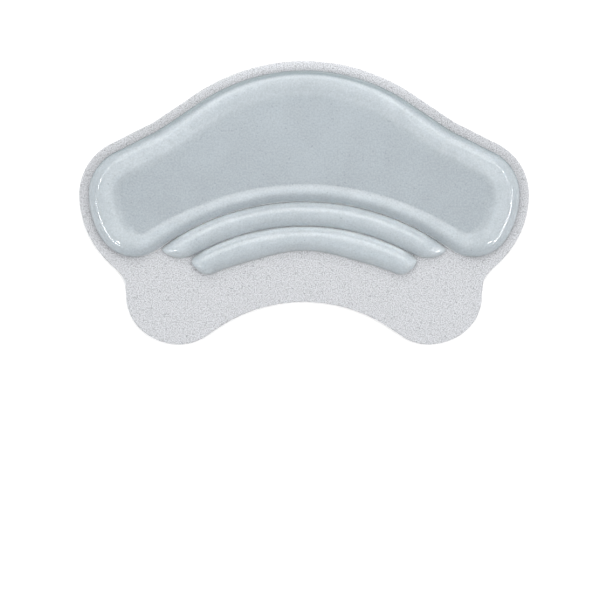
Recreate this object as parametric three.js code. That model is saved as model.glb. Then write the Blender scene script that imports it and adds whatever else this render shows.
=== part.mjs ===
// A self-adhesive gel heel grip, lying on its tacky back as it comes out of the pack.
// Millimetres. X runs across the pad, Y from the two tabs to the domed edge, Z up out of the padded face.
// The origin is on the underside, in the middle of the pad's width and height.
import * as THREE from "three";

// The sheet that everything sits on
const padWidth = 100; // across the two rounded ends
const padHeight = 63; // from the foot of the tabs to the top of the dome
const sheetThickness = 1.0;
const sheetEdgeRound = 0.3; // rounding of the sheet's upper edge
const filmThickness = 0.3; // tacky film under the sheet
const filmSetback = 0.35; // the film's edge stays this far inside the sheet's

// The raised gel cushion
const flangeWidth = 2.1; // bare sheet left outside the cushion
const cushionHeight = 2.8; // crest of the rim above the sheet
const rimAtMiddle = 2.3; // edge to crest, on the pad's centre line
const rimAtEnds = 4.7; // edge to crest, at the rounded ends
const rimGrowth = 3; // the power with which the rim widens towards the ends
const dishRun = 2.8; // crest to the flat floor of the dish
const dishDepth = 0.45;
const cushionCornerRadius = 8.8; // where the cushion's ends turn under to its hollow edge

// The hollow arc that the cushion's lower edge and both ribs share
const arcRadius = 54.5;
const apronDepth = 11.3; // bare sheet below the lower rib, on the centre line
const grooveGap = 0.3; // between neighbouring gel pieces, at the sheet

// The two gel ribs. Each end is rounded off towards a tip that lies near the rib's outer edge.
const ribHeight = 2.3;
const upperRibWidth = 5.0;
const upperRibSpan = 63.4; // between its two tips
const upperRibEnd = 6.4; // length of each rounded end
const upperRibTipInset = 0.4; // outer edge to tip
const lowerRibWidth = 5.4; // on the centre line
const lowerRibSwell = 0.6; // extra width halfway to each tip
const lowerRibSpan = 49.9;
const lowerRibEnd = 4.0;
const lowerRibTipInset = 1.1;

const sheetTop = filmThickness + sheetThickness;
// Turning between two points of an outline, in degrees: on the sheet's bends, on the cushion's corners and on
// the wide hollow arc.
const bendStep = 6;
const cornerStep = 12;
const hollowStep = 3;

// The sheet's right half, clockwise from the top of the dome to the top of the arch between the tabs.
// x is a share of half the width, y a share of the height, and heading is in degrees, anticlockwise from +X.
const sheetKnots = [
  { at: "dome top", x: 0, y: 1, heading: 0 },
  { at: "dome side", x: 0.488, y: 0.881, heading: -34 },
  { at: "saddle start", x: 0.648, y: 0.795, heading: -34 },
  { at: "saddle end", x: 0.708, y: 0.768, heading: -24.5 },
  { at: "shoulder", x: 0.854, y: 0.71, heading: -24.5 },
  { at: "rounded end", x: 1, y: 0.53, heading: -90 },
  { at: "flank", x: 0.843, y: 0.271, heading: -140 },
  { at: "notch", x: 0.795, y: 0.208, heading: -92 },
  { at: "tab side", x: 0.791, y: 0.173, heading: -90 },
  { at: "tab foot", x: 0.554, y: 0, heading: -180 },
  { at: "tab inside", x: 0.44, y: 0.0275, heading: -214 },
  { at: "arch start", x: 0.388, y: 0.0552, heading: -214 },
  { at: "arch top", x: 0, y: 0.15, heading: -180 },
];

// The cushion's section, from its foot on the sheet to the floor of its dish.
// rim is a share of the local rim width, run of dishRun, rise of cushionHeight and drop of dishDepth.
const cushionSection = [
  { at: "foot", rim: 0, run: 0, rise: 0, drop: 0 },
  { at: "wall", rim: 0.05, run: 0, rise: 0.36, drop: 0 },
  { at: "wall top", rim: 0.2, run: 0, rise: 0.66, drop: 0 },
  { at: "shoulder", rim: 0.5, run: 0, rise: 0.88, drop: 0 },
  { at: "crest", rim: 1, run: 0, rise: 1, drop: 0 },
  { at: "inner slope", rim: 1, run: 0.35, rise: 1, drop: 0.25 },
  { at: "dish side", rim: 1, run: 0.7, rise: 1, drop: 0.82 },
  { at: "dish floor", rim: 1, run: 1, rise: 1, drop: 1 },
];

const radians = THREE.MathUtils.degToRad;

// A point of an outline with the clockwise direction of the outline there.
function mark(x, y, along) {
  return { x, y, along: along.clone().normalize() };
}

// Joins two points, each with a heading in degrees, by a Bezier curve as close to one arc as they allow.
// Returns marks from the first up to, but not including, the last.
function bend(from, to) {
  const start = new THREE.Vector2(from.x, from.y);
  const end = new THREE.Vector2(to.x, to.y);
  const turn = radians(Math.abs(to.heading - from.heading));
  const arcHandle = turn > 0 ? (2 / 3) * Math.tan(turn / 4) / Math.sin(turn / 2) : 1 / 3;
  const reach = start.distanceTo(end) * arcHandle;
  const leave = new THREE.Vector2(reach, 0).rotateAround(new THREE.Vector2(), radians(from.heading));
  const arrive = new THREE.Vector2(reach, 0).rotateAround(new THREE.Vector2(), radians(to.heading));
  const curve = new THREE.CubicBezierCurve(start, start.clone().add(leave), end.clone().sub(arrive), end);
  const steps = Math.max(2, Math.ceil(THREE.MathUtils.radToDeg(turn) / bendStep));
  return Array.from({ length: steps }, (_, i) => {
    const point = curve.getPoint(i / steps);
    return mark(point.x, point.y, curve.getTangent(i / steps));
  });
}

// The sheet's knots in millimetres, with the origin in the middle of the pad.
const knots = sheetKnots.map(({ x, y, heading }) => ({
  x: (x * padWidth) / 2,
  y: (y - 0.5) * padHeight,
  heading,
}));

// Moves marks sideways into the shape, by a width that may differ from mark to mark.
function inset(marks, width) {
  return marks.map((m) => {
    const w = width(m);
    return { ...m, x: m.x + m.along.y * w, y: m.y - m.along.x * w };
  });
}

// A whole outline, anticlockwise, from its right half. The first and last marks lie on the centre line.
function mirrored(half) {
  const left = half
    .slice(1, -1)
    .reverse()
    .map((m) => ({ x: -m.x, y: m.y, along: new THREE.Vector2(m.along.x, -m.along.y) }));
  return [...half, ...left].reverse();
}

const archTop = knots[knots.length - 1];
const sheetHalf = [
  ...knots.slice(0, -1).flatMap((knot, i) => bend(knot, knots[i + 1])),
  mark(archTop.x, archTop.y, new THREE.Vector2(-1, 0)),
];
const sheetOutline = mirrored(sheetHalf);

// Heights on the centre line of the edges that follow the hollow arc, from the lowest up.
const lowerRibFoot = archTop.y + apronDepth;
const upperRibFoot = lowerRibFoot + lowerRibWidth + grooveGap;
const cushionFoot = upperRibFoot + upperRibWidth + grooveGap;
const arcCentre = cushionFoot - arcRadius;

// Marks along a circle, from one angle to another in radians, with both ends.
function arcMarks(centre, radius, from, to, mostDegrees) {
  const steps = Math.ceil(THREE.MathUtils.radToDeg(Math.abs(to - from)) / mostDegrees);
  const way = Math.sign(to - from);
  return Array.from({ length: steps + 1 }, (_, i) => {
    const angle = from + ((to - from) * i) / steps;
    const [c, s] = [Math.cos(angle), Math.sin(angle)];
    return mark(centre.x + radius * c, centre.y + radius * s, new THREE.Vector2(-way * s, way * c));
  });
}

// The cushion's right half: it follows the sheet's edge at the flange's width and part of the way down the flank,
// turns under in a round corner that touches both the flank and the hollow arc, and comes back along the arc.
function cushionHalf() {
  const arcMiddle = new THREE.Vector2(0, arcCentre);
  const edge = inset(sheetHalf, () => flangeWidth);
  const cornerAt = (m) => new THREE.Vector2(m.x, m.y).addScaledVector(
    new THREE.Vector2(m.along.y, -m.along.x),
    cushionCornerRadius,
  );
  const clearance = (m) => cornerAt(m).distanceTo(arcMiddle) - arcRadius - cushionCornerRadius;
  const next = edge.findIndex((m) => clearance(m) <= 0);
  const [before, after] = [edge[next - 1], edge[next]];
  const share = clearance(before) / (clearance(before) - clearance(after));
  const touch = mark(
    THREE.MathUtils.lerp(before.x, after.x, share),
    THREE.MathUtils.lerp(before.y, after.y, share),
    before.along.clone().lerp(after.along, share),
  );
  const centre = cornerAt(touch);
  const toTouch = Math.atan2(touch.y - centre.y, touch.x - centre.x);
  const toArc = Math.atan2(arcMiddle.y - centre.y, arcMiddle.x - centre.x);
  const corner = arcMarks(centre, cushionCornerRadius, toTouch, toArc, cornerStep);
  const contact = toArc + Math.PI;
  const hollow = arcMarks(arcMiddle, arcRadius, contact, Math.PI / 2, hollowStep);
  return [...edge.slice(0, next), ...corner.slice(0, -1), ...hollow];
}

// The triangles of a flat cap over a ring, in the ring's own turning direction.
function capOf(ring) {
  const normal = new THREE.Vector3();
  ring.forEach((p, i) => normal.add(p.clone().cross(ring[(i + 1) % ring.length])));
  const side = new THREE.Vector3(1, 0, 0);
  if (Math.abs(normal.clone().normalize().x) > 0.9) side.set(0, 1, 0);
  const u = side.cross(normal).normalize();
  const v = normal.clone().cross(u).normalize();
  const flat = ring.map((p) => new THREE.Vector2(p.dot(u), p.dot(v)));
  return THREE.ShapeUtils.triangulateShape(flat, []);
}

// One closed solid from a stack of rings with equal counts: neighbours are joined by quads and both ends capped.
// The rings turn anticlockwise as seen from the last one.
function stackSolid(rings) {
  const count = rings[0].length;
  const index = [];
  for (let r = 0; r + 1 < rings.length; r += 1) {
    for (let i = 0; i < count; i += 1) {
      const next = (i + 1) % count;
      const [a, b] = [r * count + i, r * count + next];
      const [c, d] = [a + count, b + count];
      index.push(a, b, d, a, d, c);
    }
  }
  const top = (rings.length - 1) * count;
  for (const [a, b, c] of capOf(rings[0])) index.push(a, c, b);
  for (const [a, b, c] of capOf(rings[rings.length - 1])) index.push(top + a, top + b, top + c);
  return new THREE.BufferGeometry().setFromPoints(rings.flat()).setIndex(index);
}

// A level ring at height z, from an outline's marks.
function levelRing(marks, z) {
  return marks.map((m) => new THREE.Vector3(m.x, m.y, z));
}

function film() {
  const outline = inset(sheetOutline, () => filmSetback);
  return stackSolid([levelRing(outline, 0), levelRing(outline, filmThickness)]);
}

// The sheet has a square lower edge and a rounded upper one.
function sheet() {
  const upper = [0, Math.PI / 4, Math.PI / 2].map((angle) => {
    const marks = inset(sheetOutline, () => sheetEdgeRound * (1 - Math.cos(angle)));
    return levelRing(marks, sheetTop - sheetEdgeRound * (1 - Math.sin(angle)));
  });
  return stackSolid([levelRing(sheetOutline, filmThickness), ...upper]);
}

// The cushion is its outline carried inwards and upwards along its section, which widens towards the ends.
function cushion() {
  const outline = mirrored(cushionHalf());
  const farthest = Math.max(...outline.map((m) => m.x));
  const rimWidth = (m) => rimAtMiddle + (rimAtEnds - rimAtMiddle) * Math.abs(m.x / farthest) ** rimGrowth;
  return stackSolid(
    cushionSection.map(({ rim, run, rise, drop }) => {
      const marks = inset(outline, (m) => rim * rimWidth(m) + run * dishRun);
      return levelRing(marks, sheetTop + rise * cushionHeight - drop * dishDepth);
    }),
  );
}

// Places along a rib from -1 to 1: even in the middle and closing up towards the tips. endShare of each half
// is the rounded end, and lastPlace is how much of that end is kept before the small blunt face at the tip.
function ribStations(endShare) {
  const middleSteps = 20;
  const endSteps = 7;
  const lastPlace = 0.995;
  const middle = Array.from({ length: middleSteps + 1 }, (_, i) => ((2 * i) / middleSteps - 1) * (1 - endShare));
  const end = Array.from({ length: endSteps }, (_, i) => {
    const place = Math.sin(((i + 1) / endSteps) * Math.asin(lastPlace));
    return 1 - endShare + endShare * place;
  });
  return [...end.map((s) => -s).reverse(), ...middle, ...end];
}

// A rib bent round the hollow arc: a flat base under half ellipses, which shrink to the tips as quarter ellipses.
function rib({ outerRadius, width, swell, span, endLength, tipInset }) {
  const domeSteps = 10;
  const tipRadius = outerRadius - tipInset;
  const half = Math.asin(span / 2 / tipRadius);
  const endShare = endLength / tipRadius / half;
  return stackSolid(
    ribStations(endShare).map((along) => {
      const intoEnd = Math.max(0, (Math.abs(along) - (1 - endShare)) / endShare);
      const open = Math.sqrt(1 - intoEnd ** 2);
      const broad = width + swell * Math.sin(Math.PI * along) ** 2;
      const outer = tipRadius + tipInset * open;
      const inner = tipRadius - (broad - tipInset) * open;
      const angle = along * half;
      return Array.from({ length: domeSteps + 1 }, (_, i) => {
        const turn = (Math.PI * i) / domeSteps;
        const r = (inner + outer) / 2 + ((outer - inner) / 2) * Math.cos(turn);
        const z = sheetTop + ribHeight * open * Math.sin(turn);
        return new THREE.Vector3(r * Math.sin(angle), arcCentre + r * Math.cos(angle), z);
      });
    }),
  );
}

const upperRibOuter = arcRadius - grooveGap;
const lowerRibOuter = upperRibOuter - upperRibWidth - grooveGap;

function upperRib() {
  return rib({
    outerRadius: upperRibOuter,
    width: upperRibWidth,
    swell: 0,
    span: upperRibSpan,
    endLength: upperRibEnd,
    tipInset: upperRibTipInset,
  });
}

function lowerRib() {
  return rib({
    outerRadius: lowerRibOuter,
    width: lowerRibWidth,
    swell: lowerRibSwell,
    span: lowerRibSpan,
    endLength: lowerRibEnd,
    tipInset: lowerRibTipInset,
  });
}

const gelFinish = { color: 0xbac3c9, roughness: 0.25, metalness: 0 };
const sheetFinish = { color: 0xd3d5d9, roughness: 0.8, metalness: 0 };
const filmFinish = { color: 0xe4e4e2, roughness: 0.5, metalness: 0 };

const pad = new THREE.Group();
for (const [name, geometry, finish] of [
  ["adhesive_film", film(), filmFinish],
  ["backing_sheet", sheet(), sheetFinish],
  ["gel_cushion", cushion(), gelFinish],
  ["upper_rib", upperRib(), gelFinish],
  ["lower_rib", lowerRib(), gelFinish],
]) {
  geometry.computeVertexNormals();
  const mesh = new THREE.Mesh(geometry, new THREE.MeshStandardMaterial(finish));
  mesh.name = name;
  pad.add(mesh);
}

export default pad;
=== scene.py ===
"""Dresses the gel heel grip: fine surfaces, finishes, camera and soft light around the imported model."""

import math
from typing import NamedTuple

import bpy
import numpy as np
from bpy.props import FloatProperty, FloatVectorProperty, PointerProperty
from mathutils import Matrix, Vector


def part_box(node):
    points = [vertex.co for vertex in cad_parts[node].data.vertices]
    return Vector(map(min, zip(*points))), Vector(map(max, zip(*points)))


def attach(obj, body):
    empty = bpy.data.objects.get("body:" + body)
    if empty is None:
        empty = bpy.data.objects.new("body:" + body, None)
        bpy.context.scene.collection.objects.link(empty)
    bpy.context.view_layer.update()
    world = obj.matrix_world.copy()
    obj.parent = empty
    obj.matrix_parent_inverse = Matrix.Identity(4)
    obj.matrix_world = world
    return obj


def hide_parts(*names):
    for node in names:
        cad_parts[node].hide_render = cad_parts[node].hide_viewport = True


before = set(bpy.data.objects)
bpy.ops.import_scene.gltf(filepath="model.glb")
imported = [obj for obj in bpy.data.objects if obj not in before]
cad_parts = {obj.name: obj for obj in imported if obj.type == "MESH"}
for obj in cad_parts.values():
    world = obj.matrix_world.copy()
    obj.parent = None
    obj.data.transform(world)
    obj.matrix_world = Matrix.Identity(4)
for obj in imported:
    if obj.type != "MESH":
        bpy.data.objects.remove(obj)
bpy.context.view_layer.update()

bl_info = {
    "name": "Gel heel grip",
    "version": (1, 0, 0),
    "blender": (4, 5, 0),
    "location": "3D View > Sidebar > Heel grip",
    "description": "Builds the surfaces, finishes and stage of a stick-on gel heel grip",
    "category": "Add Mesh",
}

MM = 0.001
SHEET_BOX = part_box("backing_sheet")
FILM_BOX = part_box("adhesive_film")
CUSHION_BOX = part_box("gel_cushion")
UPPER_RIB_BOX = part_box("upper_rib")
LOWER_RIB_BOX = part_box("lower_rib")
SHEET_TOP = SHEET_BOX[1].z

# Values of the gel's tone: painted shade on the steep wall, plain floor, pale rims that are partly thin gel
# and partly painted highlight, and painted light in a groove
PAINTED_SHADE, PLAIN, PALE_AND_LIT, PAINTED_GLOW = -1, 0, 1, 2
# Painted highlight: the even paleness at the ribs' ends; the wetness only ripples the coat
RIB_TIP_TONE = 0.95
RIB_TIP_WET = 0.1

# How finely the outlines, surfaces and sections are cut
BEND_POINTS = 60
FILM_HALF_POINTS = 400
SHEET_HALF_POINTS = 500
SHEET_EDGE_RINGS = 6
CUSHION_QUARTER_STEPS = 240
CORNER_POINTS = 80
HOLLOW_POINTS = 160
WALL_RINGS = 22
DISH_RINGS = 13
FLOOR_STEPS = 24
RIB_BODY_SECTIONS = 120
RIB_END_SECTIONS = 24
RIB_SECTION_POINTS = 33


class Knot(NamedTuple):
    """A point that the sheet's outline passes through: x is a share of half the width, y a share of the
    height from the foot of the tabs, and heading is in degrees, anticlockwise from +X."""
    place: str
    x: float
    y: float
    heading: float


# The sheet's right half, clockwise from the top of the dome to the top of the arch between the tabs
SHEET_KNOTS = (
    Knot("dome top", 0, 1, 0),
    Knot("dome side", 0.488, 0.881, -34),
    Knot("saddle start", 0.648, 0.795, -34),
    Knot("saddle end", 0.708, 0.768, -24.5),
    Knot("shoulder", 0.854, 0.71, -24.5),
    Knot("rounded end", 1, 0.53, -90),
    Knot("flank", 0.843, 0.271, -140),
    Knot("notch", 0.795, 0.208, -92),
    Knot("tab side", 0.791, 0.173, -90),
    Knot("tab foot", 0.554, 0, -180),
    Knot("tab inside", 0.44, 0.0275, -214),
    Knot("arch start", 0.388, 0.0552, -214),
    Knot("arch top", 0, 0.15, -180),
)


class Rib(NamedTuple):
    """A rib's name, its box in the frame, the radius of its outer edge, its width on the centre line, the
    extra width halfway to each tip, the length of each rounded end, the distance from the outer edge to the
    tip, and the bluntness of the ends."""
    name: str
    box: tuple
    outer_radius: float
    width: float
    swell: float
    end_length: float
    tip_inset: float
    blunt: float


class Light(NamedTuple):
    """An area light aimed at the pad. Its azimuth is in degrees from +X towards +Y and its elevation in
    degrees above the ground. Its distance and two sides are in metres. Its power is a share of the named
    stage setting."""
    name: str
    azimuth: float
    elevation: float
    distance: float
    sides: tuple
    setting: str
    share: float


# One broad light from the dome's side, and small lights that draw the thin glints at the ends of the gel
LIGHTS = (
    Light("softbox", 90, 42, 1.5, (1.6, 1.0), "softbox", 1.0),
    Light("left_lamp", 222, 50, 0.5, (0.05, 0.05), "lamp", 1.0),
    Light("right_lamp", 318, 50, 0.5, (0.05, 0.05), "lamp", 1.0),
    Light("left_strip", 208, 39, 0.5, (0.42, 0.02), "strip", 1.0),
    Light("right_strip", 341, 39, 0.5, (0.42, 0.02), "strip", 1.2),
    Light("left_back_strip", 157, 47, 0.5, (0.25, 0.012), "strip", 0.3),
    Light("right_back_strip", 23, 47, 0.5, (0.25, 0.012), "strip", 0.3),
)


class Path(NamedTuple):
    """Points of an outline and the unit directions in which it runs there, both as N by 2 arrays."""
    points: np.ndarray
    along: np.ndarray


def length_property(name, description, default):
    return FloatProperty(name=name, description=description, default=default, unit="LENGTH", precision=5)


def number_property(name, description, default):
    return FloatProperty(name=name, description=description, default=default)


def colour_property(name, description, default):
    return FloatVectorProperty(
        name=name, description=description, default=default, subtype="COLOR", size=3, min=0, max=1
    )


class SheetSizes(bpy.types.PropertyGroup):
    """Sizes of the backing sheet and of the tacky film under it."""
    width: length_property("Width", "Across the two rounded ends", SHEET_BOX[1].x - SHEET_BOX[0].x)
    height: length_property("Height", "From the tabs to the dome's top", SHEET_BOX[1].y - SHEET_BOX[0].y)
    edge_round: length_property("Edge round", "Rounding of the sheet's upper edge", 0.3 * MM)
    film_setback: length_property(
        "Film setback", "How far the film's edge stays inside the sheet's", SHEET_BOX[1].x - FILM_BOX[1].x
    )


class GelSizes(bpy.types.PropertyGroup):
    """Sizes of the raised gel: the dished cushion and the two ribs in its hollow."""
    flange: length_property("Flange", "Bare sheet outside the cushion", SHEET_BOX[1].y - CUSHION_BOX[1].y)
    cushion_height: length_property("Cushion height", "Crest above the sheet", CUSHION_BOX[1].z - SHEET_TOP)
    rim_at_middle: length_property("Rim at middle", "Edge to crest on the centre line", 2.3 * MM)
    rim_at_ends: length_property("Rim at ends", "Edge to crest at the rounded ends", 4.7 * MM)
    dish_run: length_property("Dish run", "Crest to the floor of the dish at the ends", 2.8 * MM)
    dome_run: length_property("Dome run", "Crest to floor under the dome", 4.5 * MM)
    hollow_run: length_property("Hollow run", "Crest to floor above the hollow", 1.7 * MM)
    dish_depth: length_property("Dish depth", "Crest to floor, in height", 0.45 * MM)
    dome_steepness: number_property("Dome steepness", "Less is a steeper foot", 0.87)
    hollow_steepness: number_property("Hollow steepness", "More is a softer foot", 1.37)
    corner_radius: length_property("Corner radius", "Where the ends turn under", 8.8 * MM)
    arc_radius: length_property("Arc radius", "Hollow arc shared by cushion and ribs", 54.5 * MM)
    groove: length_property("Groove", "Gap between neighbouring gel pieces", 0.3 * MM)
    seam: length_property("Seam", "What is left of a groove at its foot", 0.06 * MM)
    rib_height: length_property("Rib height", "Ribs above the sheet", UPPER_RIB_BOX[1].z - SHEET_TOP)
    rib_steepness: number_property("Rib steepness", "More is a softer foot", 1.45)
    upper_width: length_property("Upper rib width", "Width of the upper rib", 5.0 * MM)
    upper_end: length_property("Upper rib end", "Length of each rounded end", 6.4 * MM)
    upper_tip: length_property("Upper rib tip", "Outer edge to tip", 0.4 * MM)
    upper_blunt: number_property("Upper rib bluntness", "2 is an elliptic end", 2.0)
    lower_width: length_property("Lower rib width", "Width on the centre line", 5.4 * MM)
    lower_swell: length_property("Lower rib swell", "Extra width halfway to each tip", 0.6 * MM)
    lower_end: length_property("Lower rib end", "Length of each rounded end", 4.0 * MM)
    lower_tip: length_property("Lower rib tip", "Outer edge to tip", 1.1 * MM)
    lower_blunt: number_property("Lower rib bluntness", "More than 2 is squarer", 2.7)


class Finishes(bpy.types.PropertyGroup):
    """Colours of the surfaces."""
    gel: colour_property("Gel", "Milky blue-grey of the gel", (0.343, 0.38, 0.406))
    # Partly the paler colour of thin gel, partly painted highlight on the crests and on the ribs' lit side
    gel_pale_and_highlight: colour_property("Gel, pale", "Gel of the rims and ribs", (0.437, 0.475, 0.499))
    # Painted shade: the dark colour of the gel's steep outer wall
    gel_painted_shade: colour_property("Gel, deep", "Gel of the steep outer wall", (0.165, 0.205, 0.217))
    sheet: colour_property("Sheet", "Pale grey of the pebbled sheet", (0.445, 0.454, 0.474))
    film: colour_property("Film", "Edge of the tacky film", (0.40, 0.41, 0.40))
    floor: colour_property("Floor", "Ground that the pad lies on", (0.97, 0.97, 0.97))


class StageSettings(bpy.types.PropertyGroup):
    """Camera and light."""
    lens: number_property("Lens", "Focal length in millimetres", 120)
    sky: number_property("Sky", "Strength of the all-round light", 0.54)
    softbox: number_property("Softbox", "Power of the broad light, in watts", 16.5)
    strip: number_property("Strip", "Power of each side strip, in watts", 0.8)
    lamp: number_property("Lamp", "Power of each small front lamp, in watts", 0.2)


def bend(start, end, heading_from, heading_to, count):
    """Cubic Bezier from start to end whose handles make it as near to one arc as the two headings allow:
    handle = chord * 2/3 * tan(turn/4) / sin(turn/2). Gives the first point up to but not the last."""
    turn = math.radians(abs(heading_to - heading_from))
    handle = 2 / 3 * math.tan(turn / 4) / math.sin(turn / 2) if turn else 1 / 3
    reach = handle * np.linalg.norm(end - start)
    a, b = math.radians(heading_from), math.radians(heading_to)
    leave = start + reach * np.array([math.cos(a), math.sin(a)])
    arrive = end - reach * np.array([math.cos(b), math.sin(b)])
    t = (np.arange(count) / count)[:, None]
    left = 1 - t
    points = left ** 3 * start + 3 * t * left ** 2 * leave + 3 * t ** 2 * left * arrive + t ** 3 * end
    along = left ** 2 * (leave - start) + 2 * t * left * (arrive - leave) + t ** 2 * (end - arrive)
    return Path(points, along / np.linalg.norm(along, axis=1, keepdims=True))


def joined(*paths):
    """The paths one after another."""
    return Path(np.concatenate([p.points for p in paths]), np.concatenate([p.along for p in paths]))


def arc(centre, radius, start, end, count):
    """Points centre + radius * (cos a, sin a) for a from start to end, with the direction of travel."""
    a = np.linspace(start, end, count)
    outward = np.stack([np.cos(a), np.sin(a)], axis=1)
    ahead = np.sign(end - start) * np.stack([-np.sin(a), np.cos(a)], axis=1)
    return Path(centre + radius * outward, ahead)


def evenly(path, count):
    """The path with count points at equal steps of its length."""
    step = np.linalg.norm(np.diff(path.points, axis=0), axis=1)
    travelled = np.concatenate([[0], np.cumsum(step)])
    wanted = np.linspace(0, travelled[-1], count)
    columns = [np.interp(wanted, travelled, c) for c in np.concatenate([path.points, path.along], axis=1).T]
    points, along = np.stack(columns[:2], axis=1), np.stack(columns[2:], axis=1)
    return Path(points, along / np.linalg.norm(along, axis=1, keepdims=True))


def whole(half):
    """A closed outline, clockwise from the top, from its right half, whose ends lie on the centre line."""
    left = Path(half.points[-2:0:-1] * (-1, 1), half.along[-2:0:-1] * (1, -1))
    return joined(half, left)


def ramp(value, start, end):
    """0 before start, 1 after end and 3 t^2 - 2 t^3 between, with t the share of the way."""
    t = np.clip((value - start) / (end - start), 0, 1)
    return t * t * (3 - 2 * t)


def mixed(first, second, share):
    """first where share is 0, second where it is 1, and in proportion between."""
    return first + (second - first) * share


def inset(path, width):
    """Points moved sideways into a clockwise outline: p + width * (along.y, -along.x)."""
    inward = np.stack([path.along[:, 1], -path.along[:, 0]], axis=1)
    return path.points + np.reshape(width, (-1, 1)) * inward


def sheet_half(sizes):
    """The sheet's right half outline: bends through the knots, scaled to the pad's width and height."""
    place = [np.array([k.x * sizes.width / 2, (k.y - 0.5) * sizes.height]) for k in SHEET_KNOTS]
    bends = [
        bend(place[i], place[i + 1], SHEET_KNOTS[i].heading, SHEET_KNOTS[i + 1].heading, BEND_POINTS)
        for i in range(len(place) - 1)
    ]
    return joined(*bends, Path(place[-1][None], np.array([[-1.0, 0.0]])))


def arc_middle(gel):
    """Centre of the hollow arc, from the cushion's edge on the centre line."""
    foot = UPPER_RIB_BOX[1].y + gel.groove
    return np.array([0.0, foot - gel.arc_radius])


def cushion_half(sizes, gel, count):
    """The cushion's right half outline as two even runs of count points. The first is the sheet's edge inset
    by the flange, down to the rightmost point. The second goes on down the flank, round a corner circle that
    touches the flank and the hollow arc, and back along the arc."""
    middle = arc_middle(gel)
    half = sheet_half(sizes)
    edge = Path(inset(half, gel.flange), half.along)
    centres = inset(edge, gel.corner_radius)
    clearance = np.linalg.norm(centres - middle, axis=1) - gel.arc_radius - gel.corner_radius
    touch = int(np.argmax(clearance <= 0))
    share = clearance[touch - 1] / (clearance[touch - 1] - clearance[touch])
    centre = centres[touch - 1] + share * (centres[touch] - centres[touch - 1])
    contact = edge.points[touch - 1] + share * (edge.points[touch] - edge.points[touch - 1])
    to_touch = math.atan2(*(contact - centre)[::-1])
    to_arc = math.atan2(*(middle - centre)[::-1])
    corner = arc(centre, gel.corner_radius, to_touch, to_arc, CORNER_POINTS)
    hollow = arc(middle, gel.arc_radius, to_arc + math.pi, math.pi / 2, HOLLOW_POINTS)
    far = int(np.argmax(edge.points[:, 0]))
    upper = evenly(Path(edge.points[: far + 1], edge.along[: far + 1]), count)
    rest = Path(edge.points[far:touch], edge.along[far:touch])
    lower = evenly(joined(rest, corner, hollow), count)
    return joined(upper, Path(lower.points[1:], lower.along[1:]))


def make_mesh(name, points, faces, values=None):
    """One object. Triangles and quads are smooth, and a face with more corners, such as an underside, is
    flat. values maps the name of an attribute to one number per point."""
    mesh = bpy.data.meshes.new(name)
    mesh.from_pydata(points.tolist(), [], faces)
    mesh.polygons.foreach_set("use_smooth", [len(face) <= 4 for face in faces])
    for key, value in (values or {}).items():
        attribute = mesh.attributes.new(key, "FLOAT", "POINT")
        attribute.data.foreach_set("value", np.asarray(value, np.float32))
    mesh.validate()
    obj = bpy.data.objects.new(name, mesh)
    bpy.context.scene.collection.objects.link(obj)
    return obj


def ring_faces(rings, count):
    """Quads between neighbouring rings of count points each. They face outwards where the rings run
    clockwise and are listed from the foot of the piece up and inwards."""
    r, i = np.meshgrid(np.arange(rings - 1), np.arange(count), indexing="ij")
    a = (r * count + i).ravel()
    b = (r * count + (i + 1) % count).ravel()
    return np.stack([a, a + count, b + count, b], axis=1)


def level(points, z):
    """Points of the plane lifted to height z, which may be one number or one per point."""
    return np.column_stack([points, np.broadcast_to(z, len(points))])


def finish_piece(obj, node, material):
    """Gives the piece its material, hangs it on the root body and hides the model's own part for the node."""
    obj.data.materials.append(material)
    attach(obj, "root")
    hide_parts(node)


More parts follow.
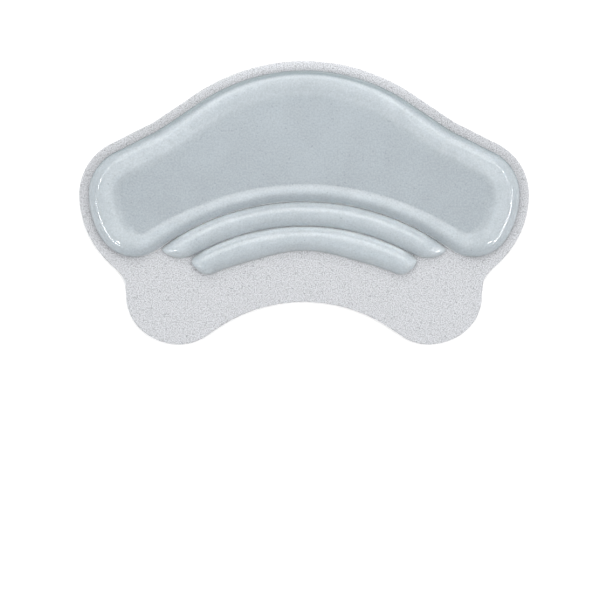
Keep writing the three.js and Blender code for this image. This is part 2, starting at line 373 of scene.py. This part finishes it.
class Shader:
    """A short way to write a node material."""

    def __init__(self, name):
        self.material = bpy.data.materials.new(name)
        self.material.use_nodes = True
        self.nodes = self.material.node_tree.nodes
        self.links = self.material.node_tree.links
        self.surface = self.nodes["Principled BSDF"]
        self.place = self.add("ShaderNodeTexCoord").outputs["Object"]

    def add(self, kind, **settings):
        """A new node, with its settings by their attribute names."""
        node = self.nodes.new(kind)
        for key, value in settings.items():
            setattr(node, key, value)
        return node

    def plug(self, value, socket):
        """Links another node's output to the socket, or sets a constant on it."""
        if isinstance(value, bpy.types.NodeSocket):
            self.links.new(value, socket)
        else:
            socket.default_value = value

    def feed(self, node, **inputs):
        """Fills inputs by their names, with spaces written as underscores."""
        for key, value in inputs.items():
            self.plug(value, node.inputs[key.replace("_", " ")])
        return node

    def attribute(self, name):
        """A value stored on the surface."""
        node = self.add("ShaderNodeAttribute", attribute_type="GEOMETRY", attribute_name=name)
        return node.outputs["Fac"]

    def coordinate(self, axis):
        """The piece's own X, Y or Z, in metres."""
        return self.feed(self.add("ShaderNodeSeparateXYZ"), Vector=self.place).outputs[axis]

    def noise(self, size, detail=3.0, roughness=0.6):
        """Noise whose blobs are about size metres across, as a socket from 0 to 1."""
        node = self.feed(
            self.add("ShaderNodeTexNoise"),
            Vector=self.place, Scale=1 / size, Detail=detail, Roughness=roughness,
        )
        return node.outputs["Fac"]

    def spread(self, value, low, high, out_low, out_high):
        """Maps low..high to out_low..out_high."""
        node = self.feed(
            self.add("ShaderNodeMapRange"),
            Value=value, From_Min=low, From_Max=high, To_Min=out_low, To_Max=out_high,
        )
        return node.outputs["Result"]

    def mix(self, share, first, second):
        """first and second colours mixed by share."""
        node = self.add("ShaderNodeMix", data_type="RGBA")
        factor, colour_a, colour_b = node.inputs[0], node.inputs[6], node.inputs[7]
        self.plug(share, factor)
        self.plug(first, colour_a)
        self.plug(second, colour_b)
        return node.outputs[2]

    def product(self, first, second):
        """first times second."""
        node = self.add("ShaderNodeMath", operation="MULTIPLY")
        self.plug(first, node.inputs[0])
        self.plug(second, node.inputs[1])
        return node.outputs[0]

    def scaled(self, colour, share):
        """A colour made lighter or darker by share."""
        node = self.add("ShaderNodeVectorMath", operation="SCALE")
        self.plug(colour, node.inputs[0])
        self.plug(share, node.inputs["Scale"])
        return node.outputs[0]

    def bump(self, height, depth, strength):
        """Bump of that depth in metres."""
        node = self.feed(self.add("ShaderNodeBump"), Height=height, Distance=depth, Strength=strength)
        return node.outputs["Normal"]


def solid(colour, share=1.0):
    """A colour as four numbers, scaled by share."""
    return (*(c * share for c in colour), 1.0)


def gel_material(finishes):
    """Milky translucent gel: soft clouds, light carried under the skin and a glossy, faintly rippled skin.
    Its attribute "tone" carries painted shade and painted light, from the steep wall's shade to the grooves'
    glow, and "wet", from 0 to 1, is how much the coat sparkles."""
    shader = Shader("gel")
    tone = shader.attribute("tone")
    clouds = shader.spread(shader.noise(7 * MM, 3.0), 0.35, 0.65, 0.97, 1.03)
    grain = shader.spread(shader.noise(0.4 * MM, 2.0), 0.3, 0.7, 0.9, 1.1)
    specks = shader.spread(shader.noise(0.55 * MM, 1.0), 0.68, 0.76, 1, 0.82)
    streaks = shader.spread(shader.noise(2.4 * MM, 3.0), 0.35, 0.65, 0.7, 1.1)
    # Paleness: partly thin gel, partly painted highlight, broken by random streaks
    paleness = shader.product(shader.spread(tone, PLAIN, PALE_AND_LIT, 0, 1), streaks)
    colour = shader.mix(paleness, solid(finishes.gel), solid(finishes.gel_pale_and_highlight))
    # Painted shade on the steep outer wall, strongest where it faces away from the tabs
    colour = shader.mix(shader.spread(tone, PLAIN, PAINTED_SHADE, 0, 1), colour, solid(finishes.gel_painted_shade))
    colour = shader.scaled(colour, shader.product(clouds, shader.product(grain, specks)))
    # Painted light: the gel at the grooves' foot up to 3.5 times lighter, against the groove's shade
    colour = shader.scaled(colour, shader.spread(tone, PALE_AND_LIT, PAINTED_GLOW, 1, 3.5))
    # Painted light: the gel a little lighter towards the dome, the softbox's side
    domeward = shader.spread(shader.coordinate("Y"), 4 * MM, 18 * MM, 0.95, 1.01)
    colour = shader.scaled(colour, domeward)
    wetness = shader.spread(shader.attribute("wet"), 0, 1, 0.012, 0.8)
    waves = shader.product(shader.noise(1.3 * MM, 1.0), wetness)
    wet_skin = shader.bump(waves, 1.2 * MM, 1.0)
    ripple = shader.bump(shader.noise(1.1 * MM, 2.0), 0.05 * MM, 0.25)
    gloss = shader.spread(shader.noise(4 * MM, 2.0), 0.3, 0.7, 0.34, 0.44)
    shader.feed(
        shader.surface,
        Base_Color=colour, Roughness=gloss, Normal=ripple, IOR=1.45,
        Subsurface_Weight=0.75, Subsurface_Radius=(1.0, 1.1, 1.2), Subsurface_Scale=2.4 * MM,
        Coat_Weight=0.65, Specular_IOR_Level=0.35, Coat_Roughness=0.05, Coat_Normal=wet_skin,
    )
    return shader.material


def sheet_material(finishes):
    """Pale matte sheet with fine pebbles, in colour and in relief."""
    shader = Shader("pebbled_sheet")
    fine = shader.noise(0.26 * MM, 2.0, 0.7)
    speckle = shader.spread(fine, 0.38, 0.58, 0, 1)
    colour = shader.mix(speckle, solid(finishes.sheet, 0.68), solid(finishes.sheet, 1.22))
    pits = shader.spread(shader.noise(0.5 * MM, 1.0), 0.62, 0.7, 1, 0.75)
    # Painted shade: the sheet a little darker at the rounded ends
    absolute = shader.add("ShaderNodeMath", operation="ABSOLUTE")
    off_middle = shader.feed(absolute, Value=shader.coordinate("X")).outputs[0]
    ends = shader.spread(off_middle, 41 * MM, 49 * MM, 1.0, 0.98)
    # Painted light: the sheet lighter towards the dome's top
    dome = shader.spread(shader.coordinate("Y"), 17 * MM, 30 * MM, 1.0, 1.2)
    colour = shader.scaled(colour, shader.product(pits, shader.product(ends, dome)))
    pebbles = shader.bump(fine, 0.25 * MM, 0.8)
    shader.feed(
        shader.surface,
        Base_Color=colour, Roughness=0.75, Normal=pebbles,
        Subsurface_Weight=0.15, Subsurface_Radius=(1.0, 1.0, 1.0), Subsurface_Scale=0.6 * MM,
    )
    return shader.material


def film_material(finishes):
    """Clear tacky film, a little cloudy."""
    shader = Shader("tacky_film")
    clouds = shader.spread(shader.noise(3 * MM, 2.0), 0.3, 0.7, 0, 1)
    colour = shader.mix(clouds, solid(finishes.film, 0.92), solid(finishes.film, 1.05))
    smear = shader.bump(shader.noise(1.5 * MM, 2.0), 0.04 * MM, 0.3)
    shader.feed(
        shader.surface,
        Base_Color=colour, Roughness=0.3, Normal=smear,
        Subsurface_Weight=0.2, Subsurface_Radius=(1.0, 1.0, 1.0), Subsurface_Scale=0.4 * MM,
    )
    return shader.material


def build_film(scene):
    """The film: the sheet's outline set back, as a thin prism."""
    outline = whole(evenly(sheet_half(scene.sheet_sizes), FILM_HALF_POINTS))
    edge = inset(outline, scene.sheet_sizes.film_setback)
    count = len(edge)
    points = np.concatenate([level(edge, 0.0), level(edge, FILM_BOX[1].z)])
    faces = ring_faces(2, count).tolist()
    faces += [list(range(count)), list(range(2 * count - 1, count - 1, -1))]
    return make_mesh("tacky_film", points, faces)


def build_sheet(scene):
    """The sheet: a square lower edge and a quarter-round upper one. The rounding's ring at angle a is inset
    by r (1 - cos a) and lies r (1 - sin a) below the top."""
    outline = whole(evenly(sheet_half(scene.sheet_sizes), SHEET_HALF_POINTS))
    radius = scene.sheet_sizes.edge_round
    count = len(outline.points)
    rings = [level(outline.points, FILM_BOX[1].z)]
    for a in np.linspace(0, math.pi / 2, SHEET_EDGE_RINGS):
        ring = inset(outline, radius * (1 - math.cos(a)))
        rings.append(level(ring, SHEET_TOP - radius * (1 - math.sin(a))))
    faces = ring_faces(len(rings), count).tolist()
    top = (len(rings) - 1) * count
    faces += [list(range(count)), list(range(top + count - 1, top - 1, -1))]
    return make_mesh("pebbled_sheet", np.concatenate(rings), faces)


def build_cushion(scene):
    """The cushion: its outline carried inwards and upwards. From the foot to the crest, for a from 0 to 90
    degrees, the inset is rim (1 - cos a) and the rise is height sin(a)^p, with p the dome's or the hollow's
    steepness. From the crest to the floor of the dish it falls depth (3 t^2 - 2 t^3), for t from 0 to 1."""
    gel = scene.gel_sizes
    run = CUSHION_QUARTER_STEPS
    outline = whole(cushion_half(scene.sheet_sizes, gel, run + 1))
    sideways = np.abs(outline.points[:, 0] / outline.points[:, 0].max())
    crest = SHEET_TOP + gel.cushion_height
    off_arc = np.linalg.norm(outline.points - arc_middle(gel), axis=1) - gel.arc_radius
    outside = ramp(off_arc, 0, 3 * MM)
    endness = sideways ** mixed(3, 1.6, outside)
    rim = mixed(gel.rim_at_middle, gel.rim_at_ends, endness)
    run_at_middle = mixed(gel.hollow_run, gel.dome_run, outside)
    dish_run = mixed(run_at_middle, gel.dish_run, endness)
    steepness = mixed(gel.hollow_steepness, gel.dome_steepness, outside)
    rings, tones, wets = [], [], []
    for a in np.linspace(0, math.pi / 2, WALL_RINGS):
        run_in = rim * (1 - math.cos(a))
        rise = gel.cushion_height * math.sin(a) ** steepness
        rings.append(level(inset(outline, run_in), SHEET_TOP + rise))
        tones.append(wall_tone(outline, run_in, rim, outside, endness))
        wets.append(wall_wet(run_in / rim, outside, sideways))
    crest_wet = wets[-1]
    for t in np.linspace(0, 1, DISH_RINGS + 1)[1:]:
        rings.append(level(inset(outline, rim + t * dish_run), crest - gel.dish_depth * ramp(t, 0, 1)))
        tones.append(dish_tone(t, outside, endness))
        wets.append((1 - ramp(t, 0, 0.5)) * crest_wet)
    count = len(outline.points)
    faces = ring_faces(len(rings), count).tolist()
    faces.append(list(range(count)))
    values = {"tone": np.concatenate(tones), "wet": np.concatenate(wets)}
    last = (len(rings) - 1) * count
    return add_floor("gel_cushion_skin", np.concatenate(rings), faces, last, run, values)


def wall_tone(outline, run_in, rim, outside, endness):
    """Tone of a ring between foot and crest that lies run_in inside the outline. The outer wall gets painted
    shade, strongest where it faces away from the tabs, the crest is pale with painted highlight, and a
    painted glow lies in the groove along the hollow."""
    facing = mixed(0.15, 1, ramp(outline.along[:, 0], -0.2, 0.8))
    shade_width = mixed(2.5 * MM, 1.0 * MM, endness)
    wall = 1 - ramp(run_in, 0, shade_width)
    least = mixed(0.15, 0.45, endness)
    inner_tone = mixed(least, PALE_AND_LIT, ramp(run_in / rim, 0.3, 0.9))
    # Painted glow at the foot of the wall along the hollow
    glow_width = 0.35 * MM
    foot_glow = 1.6 * (1 - outside) * (1 - ramp(run_in, 0, glow_width))
    return mixed(inner_tone, PAINTED_SHADE * outside * facing, wall) + foot_glow


def wall_wet(share, outside, sideways):
    """Wetness at that share of the way from foot to crest. It lies on the two slopes beside the dome."""
    wettest = 0.18
    beside_dome = ramp(sideways, 0.3, 0.4) * (1 - ramp(sideways, 0.7, 0.8))
    return wettest * outside * ramp(share, 0.3, 0.9) * beside_dome


def dish_tone(t, outside, endness):
    """Tone at the share t of the way from crest to floor. A painted highlight fades inwards from the crest,
    with a painted highlight line that lies near the floor in the middle of the pad and near the crest at its
    ends."""
    line_place = mixed(0.68, 0.15, endness)
    line_width = 0.14
    line = 0.4 * outside * np.exp(-(((t - line_place) / line_width) ** 2)) * (1 - t * t)
    fade = (1 - t) ** mixed(2, 1.2, outside)
    return np.minimum(fade + line, PALE_AND_LIT)


def add_floor(name, points, faces, last, run, values):
    """Closes the innermost ring, which starts at point last, with lines from its dome side to its hollow
    side: point = (1 - t) upper + t lower, lowered by sag sin(pi t) cos(pi u / 2)^2, with u from -1 to 1 along
    the cushion. run is the number of steps in each quarter of the ring."""
    sag = 0.06 * MM
    stations = np.arange(-run + 1, run)
    upper = last + stations % (4 * run)
    lower = last + (2 * run - stations) % (4 * run)
    t = (np.arange(1, FLOOR_STEPS) / FLOOR_STEPS)[None, :, None]
    grid = (1 - t) * points[upper][:, None] + t * points[lower][:, None]
    along = np.cos(np.pi / 2 * stations / run)[:, None] ** 2
    grid[:, :, 2] -= sag * along * np.sin(np.pi * t[:, :, 0])
    inner = len(points) + np.arange(grid[:, :, 0].size).reshape(grid.shape[:2])
    faces = faces + patch(np.column_stack([upper, inner, lower]), last + 3 * run, last + run)
    everything = np.concatenate([points, grid.reshape(-1, 3)])
    values = {key: np.append(value, np.zeros(inner.size)) for key, value in values.items()}
    return make_mesh(name, everything, faces, values)


def patch(table, left, right):
    """Quads between the neighbouring rows and columns of a table of point numbers, a fan of triangles from
    its first row to the point left, and one from its last row to the point right."""
    a, b, c, d = table[:-1, :-1], table[1:, :-1], table[1:, 1:], table[:-1, 1:]
    faces = np.stack([a, d, c, b], axis=-1).reshape(-1, 4).tolist()
    for row, tip in ((table[0, ::-1].tolist(), left), (table[-1].tolist(), right)):
        faces += [[p, q, tip] for p, q in zip(row[:-1], row[1:])]
    return faces


def both_ribs(gel):
    """The upper and the lower rib. The upper one fills its outer groove but for the seam, and the two share
    what is filled of the groove between them."""
    filled = gel.groove - gel.seam
    upper_outer = gel.arc_radius - gel.seam
    upper_width = gel.upper_width + filled + filled / 2
    lower_outer = upper_outer - upper_width - gel.seam
    upper = Rib(
        "upper_rib_skin", UPPER_RIB_BOX, upper_outer, upper_width, 0.0,
        gel.upper_end, gel.upper_tip, gel.upper_blunt,
    )
    lower = Rib(
        "lower_rib_skin", LOWER_RIB_BOX, lower_outer, gel.lower_width + filled / 2, gel.lower_swell,
        gel.lower_end, gel.lower_tip, gel.lower_blunt,
    )
    return upper, lower


def build_rib(rib, gel):
    """A rib bent round the hollow arc. At the share s of its half span, from -1 to 1, the section runs from
    the outer to the inner radius and rises height sin(a)^p, for a from 0 to 180 degrees and p the steepness.
    In the rounded ends its size falls as (1 - e^k)^(1/k) towards the tip, for e from 0 to 1 and k the
    bluntness."""
    tip_radius = rib.outer_radius - rib.tip_inset
    half_turn = math.asin(rib.box[1].x / tip_radius)
    end = rib.end_length / tip_radius / half_turn
    to_tip = np.sin(np.linspace(0, math.pi / 2, RIB_END_SECTIONS + 2))[1:-1]
    right_half = np.concatenate([np.linspace(0, 1 - end, RIB_BODY_SECTIONS), 1 - end + end * to_tip])
    s = np.concatenate([-right_half[:0:-1], right_half])
    e = np.clip((np.abs(s) - (1 - end)) / end, 0, 1)
    size = (1 - e ** rib.blunt) ** (1 / rib.blunt)
    broad = rib.width + rib.swell * np.sin(np.pi * s) ** 2
    outer = tip_radius + rib.tip_inset * size
    inner = tip_radius - (broad - rib.tip_inset) * size
    a = np.linspace(0, math.pi, RIB_SECTION_POINTS)
    radius = (inner + outer)[:, None] / 2 + (outer - inner)[:, None] / 2 * np.cos(a)
    z = SHEET_TOP + gel.rib_height * size[:, None] * np.sin(a) ** gel.rib_steepness
    turn = s[:, None] * half_turn
    middle_y = arc_middle(gel)[1]
    grid = np.stack([radius * np.sin(turn), middle_y + radius * np.cos(turn), z], axis=-1)
    tip_x = tip_radius * math.sin(half_turn)
    tip_y = middle_y + tip_radius * math.cos(half_turn)
    tips = [[-tip_x, tip_y, SHEET_TOP], [tip_x, tip_y, SHEET_TOP]]
    index = np.arange(z.size).reshape(z.shape)
    faces = patch(np.column_stack([index, index[:, :1]]), z.size, z.size + 1)
    tone, wet = rib_looks(a, e)
    values = {"tone": np.append(tone, [RIB_TIP_TONE] * 2), "wet": np.append(wet, [RIB_TIP_WET] * 2)}
    return make_mesh(rib.name, np.concatenate([grid.reshape(-1, 3), tips]), faces, values)


def rib_looks(a, e):
    """Tone and wetness over a rib's sections: painted light on the side towards the dome, a painted glow at
    its foot in the grooves, and an even painted highlight with a little wetness at its ends. a is the angle
    in the section, and e runs from 0 where an end starts to 1 at its tip."""
    body = 1 - ramp(e, 0, 0.625)[:, None]
    foot = 1 - ramp(np.sin(a), 0, 0.35)
    # Painted light: paler on the side towards the dome, where the softbox is
    lit = mixed(0.85, 0.7 + 0.5 * np.cos(a), body)
    # Painted glow at the foot in the grooves, weaker towards the ends
    tone = mixed(lit, PAINTED_GLOW, foot * mixed(0.4, 1, body))
    wet = mixed(RIB_TIP_WET, 0, body) * np.ones(len(a))
    return tone, wet


class HEELGRIP_OT_film(bpy.types.Operator):
    """Add the tacky film under the sheet"""
    bl_idname = "heelgrip.film"
    bl_label = "Tacky film"

    def execute(self, context):
        scene = context.scene
        finish_piece(build_film(scene), "adhesive_film", film_material(scene.finishes))
        return {"FINISHED"}


class HEELGRIP_OT_sheet(bpy.types.Operator):
    """Add the pebbled backing sheet"""
    bl_idname = "heelgrip.sheet"
    bl_label = "Pebbled sheet"

    def execute(self, context):
        scene = context.scene
        finish_piece(build_sheet(scene), "backing_sheet", sheet_material(scene.finishes))
        return {"FINISHED"}


class HEELGRIP_OT_gel(bpy.types.Operator):
    """Add the gel cushion and the two gel ribs"""
    bl_idname = "heelgrip.gel"
    bl_label = "Gel cushion and ribs"

    def execute(self, context):
        scene = context.scene
        gel = scene.gel_sizes
        material = gel_material(scene.finishes)
        upper, lower = [build_rib(rib, gel) for rib in both_ribs(gel)]
        pieces = ((build_cushion(scene), "gel_cushion"), (upper, "upper_rib"), (lower, "lower_rib"))
        for piece, node in pieces:
            finish_piece(piece, node, material)
        return {"FINISHED"}


def add_light(light, settings):
    """Adds an area light of the list."""
    a, e = math.radians(light.azimuth), math.radians(light.elevation)
    data = bpy.data.lights.new(light.name, "AREA")
    data.shape = "RECTANGLE"
    data.size, data.size_y = light.sides
    data.energy = light.share * getattr(settings, light.setting)
    obj = bpy.data.objects.new(light.name, data)
    towards = Vector((math.cos(a) * math.cos(e), math.sin(a) * math.cos(e), math.sin(e)))
    obj.location = light.distance * towards
    obj.rotation_mode = "QUATERNION"
    obj.rotation_quaternion = towards.to_track_quat("Z", "Y")
    bpy.context.scene.collection.objects.link(obj)


class HEELGRIP_OT_stage(bpy.types.Operator):
    """Add the pale floor, the camera above the pad and the soft light"""
    bl_idname = "heelgrip.stage"
    bl_label = "Stage"

    def execute(self, context):
        scene = context.scene
        settings = scene.stage_settings
        self.floor(scene)
        self.camera(scene, settings)
        self.sky(scene, settings)
        for light in LIGHTS:
            add_light(light, settings)
        scene.view_settings.view_transform = "Standard"
        return {"FINISHED"}

    def sky(self, scene, settings):
        """Plain white light from all round."""
        scene.world = bpy.data.worlds.new("soft_sky")
        scene.world.use_nodes = True
        background = scene.world.node_tree.nodes["Background"]
        background.inputs["Color"].default_value = (1.0, 1.0, 1.0, 1.0)
        background.inputs["Strength"].default_value = settings.sky

    def floor(self, scene):
        """A wide plain floor at the height of the film's underside."""
        reach = 3.0
        corners = np.array([[-reach, -reach, 0], [reach, -reach, 0], [reach, reach, 0], [-reach, reach, 0]])
        floor = make_mesh("floor", corners, [[0, 1, 2, 3]])
        shader = Shader("floor")
        shader.feed(shader.surface, Base_Color=solid(scene.finishes.floor), Roughness=0.9)
        floor.data.materials.append(shader.material)

    def camera(self, scene, settings):
        """Straight above, with the pad where the photograph has it: 450 of 600 pixels wide, its middle at
        pixel 304.1, 202.7. The picture's own middle looks at the ground below the tabs."""
        frame_pixels, pad_pixels = 600, 450
        pad_middle = (304.1, 202.7)
        metres_per_pixel = scene.sheet_sizes.width / pad_pixels
        data = bpy.data.cameras.new("camera")
        data.lens = settings.lens
        distance = data.lens / data.sensor_width * frame_pixels * metres_per_pixel
        camera = bpy.data.objects.new("camera", data)
        camera.location = (
            (frame_pixels / 2 - pad_middle[0]) * metres_per_pixel,
            (pad_middle[1] - frame_pixels / 2) * metres_per_pixel,
            SHEET_TOP + distance,
        )
        data.clip_start, data.clip_end = 0.01, 20
        scene.collection.objects.link(camera)
        scene.camera = camera


class HEELGRIP_PT_panel(bpy.types.Panel):
    """The pieces and their sizes, in the 3D view's sidebar"""
    bl_idname = "HEELGRIP_PT_panel"
    bl_label = "Heel grip"
    bl_space_type = "VIEW_3D"
    bl_region_type = "UI"
    bl_category = "Heel grip"

    def draw(self, context):
        for name in GROUPS:
            group = getattr(context.scene, name)
            box = self.layout.box()
            for key in group.bl_rna.properties.keys():
                if key not in {"rna_type", "name"}:
                    box.prop(group, key)
        for operator in OPERATORS:
            self.layout.operator(operator.bl_idname)


GROUPS = {
    "sheet_sizes": SheetSizes,
    "gel_sizes": GelSizes,
    "finishes": Finishes,
    "stage_settings": StageSettings,
}
OPERATORS = (HEELGRIP_OT_film, HEELGRIP_OT_sheet, HEELGRIP_OT_gel, HEELGRIP_OT_stage)
CLASSES = (*GROUPS.values(), *OPERATORS, HEELGRIP_PT_panel)


def register():
    for cls in CLASSES:
        bpy.utils.register_class(cls)
    for key, group in GROUPS.items():
        setattr(bpy.types.Scene, key, PointerProperty(type=group))


def unregister():
    for key in GROUPS:
        delattr(bpy.types.Scene, key)
    for cls in reversed(CLASSES):
        bpy.utils.unregister_class(cls)


def main():
    register()
    bpy.ops.heelgrip.film()
    bpy.ops.heelgrip.sheet()
    bpy.ops.heelgrip.gel()
    bpy.ops.heelgrip.stage()


if __name__ == "__main__":
    main()
